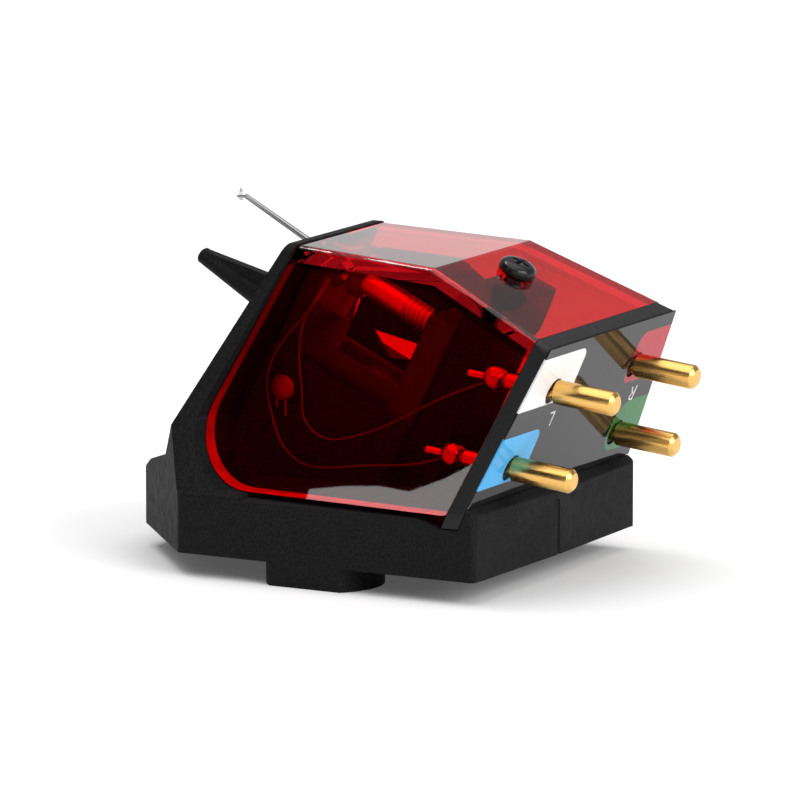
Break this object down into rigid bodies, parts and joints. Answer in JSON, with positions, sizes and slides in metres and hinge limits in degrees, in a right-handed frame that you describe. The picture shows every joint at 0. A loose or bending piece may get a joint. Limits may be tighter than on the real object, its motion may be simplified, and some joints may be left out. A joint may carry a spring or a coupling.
{
  "type": "moving-coil turntable cartridge",
  "caption": "Moving-coil turntable cartridge: black frame with mounting pads, clear red cover over the generator, leaning terminal plate with pins, cantilever with stylus.",
  "frame": {"origin": "on the mounting face, midway between the two fixing holes", "axes": "+X towards the terminal pins, +Z from the headshell towards the record"},
  "size_m": [0.0273, 0.017, 0.018],
  "materials": {
    "frame_plastic": "fine moulded grain",
    "clear_red": "clear polished plastic",
    "black_screw": "black oxide",
    "plate_plastic": "satin",
    "label_film": "glossy film with colour fields",
    "pin_gold": "gold plate",
    "solder": "bright",
    "lead_copper": "enamelled copper",
    "pole_iron": "turned and plated",
    "yoke_iron": "black oxide",
    "magnet_epoxy": "black epoxy coat",
    "damper_rubber": "matt",
    "suspension_steel": "drawn wire",
    "former_iron": "plain",
    "coil_copper": "enamelled copper",
    "cantilever_aluminium": "drawn tube",
    "diamond": "polished"
  },
  "bodies": {
    "housing": {"body_frame": "frame_plastic", "cover": "clear_red", "cover_screw": "black_screw", "terminal_plate": "plate_plastic", "terminal_label": "label_film", "pin_left_signal": "pin_gold", "pin_left_ground": "pin_gold", "pin_right_signal": "pin_gold", "pin_right_ground": "pin_gold", "solder_left_signal": "solder", "solder_left_ground": "solder", "solder_right_signal": "solder", "solder_right_ground": "solder", "lead_left_signal": "lead_copper", "lead_left_ground": "lead_copper", "lead_right_signal": "lead_copper", "lead_right_ground": "lead_copper", "front_pole": "yoke_iron", "magnet": "magnet_epoxy", "rear_yoke": "yoke_iron", "pole_screw": "pole_iron"},
    "suspension": {"damper": "damper_rubber", "suspension_wire": "suspension_steel"},
    "armature": {"coil_former": "former_iron", "coil_left": "coil_copper", "coil_right": "coil_copper", "cantilever": "cantilever_aluminium", "stylus": "diamond"}
  },
  "joints": [
    {"name": "cantilever_pitch", "type": "hinge", "parent": "housing", "child": "suspension", "pos_m": [-0.00195, 0, 0.01422], "axis": [0, 1, 0], "range_deg": [-2.5, 2.5], "stiffness_Nm_per_rad": 0.0034, "deforming": ["damper", "suspension_wire"]},
    {"name": "cantilever_yaw", "type": "hinge", "parent": "suspension", "child": "armature", "pos_m": [-0.00195, 0, 0.01422], "axis": [0.4833, 0, 0.8755], "range_deg": [-2.5, 2.5], "stiffness_Nm_per_rad": 0.0034, "deforming": ["damper", "suspension_wire"]}
  ]
}
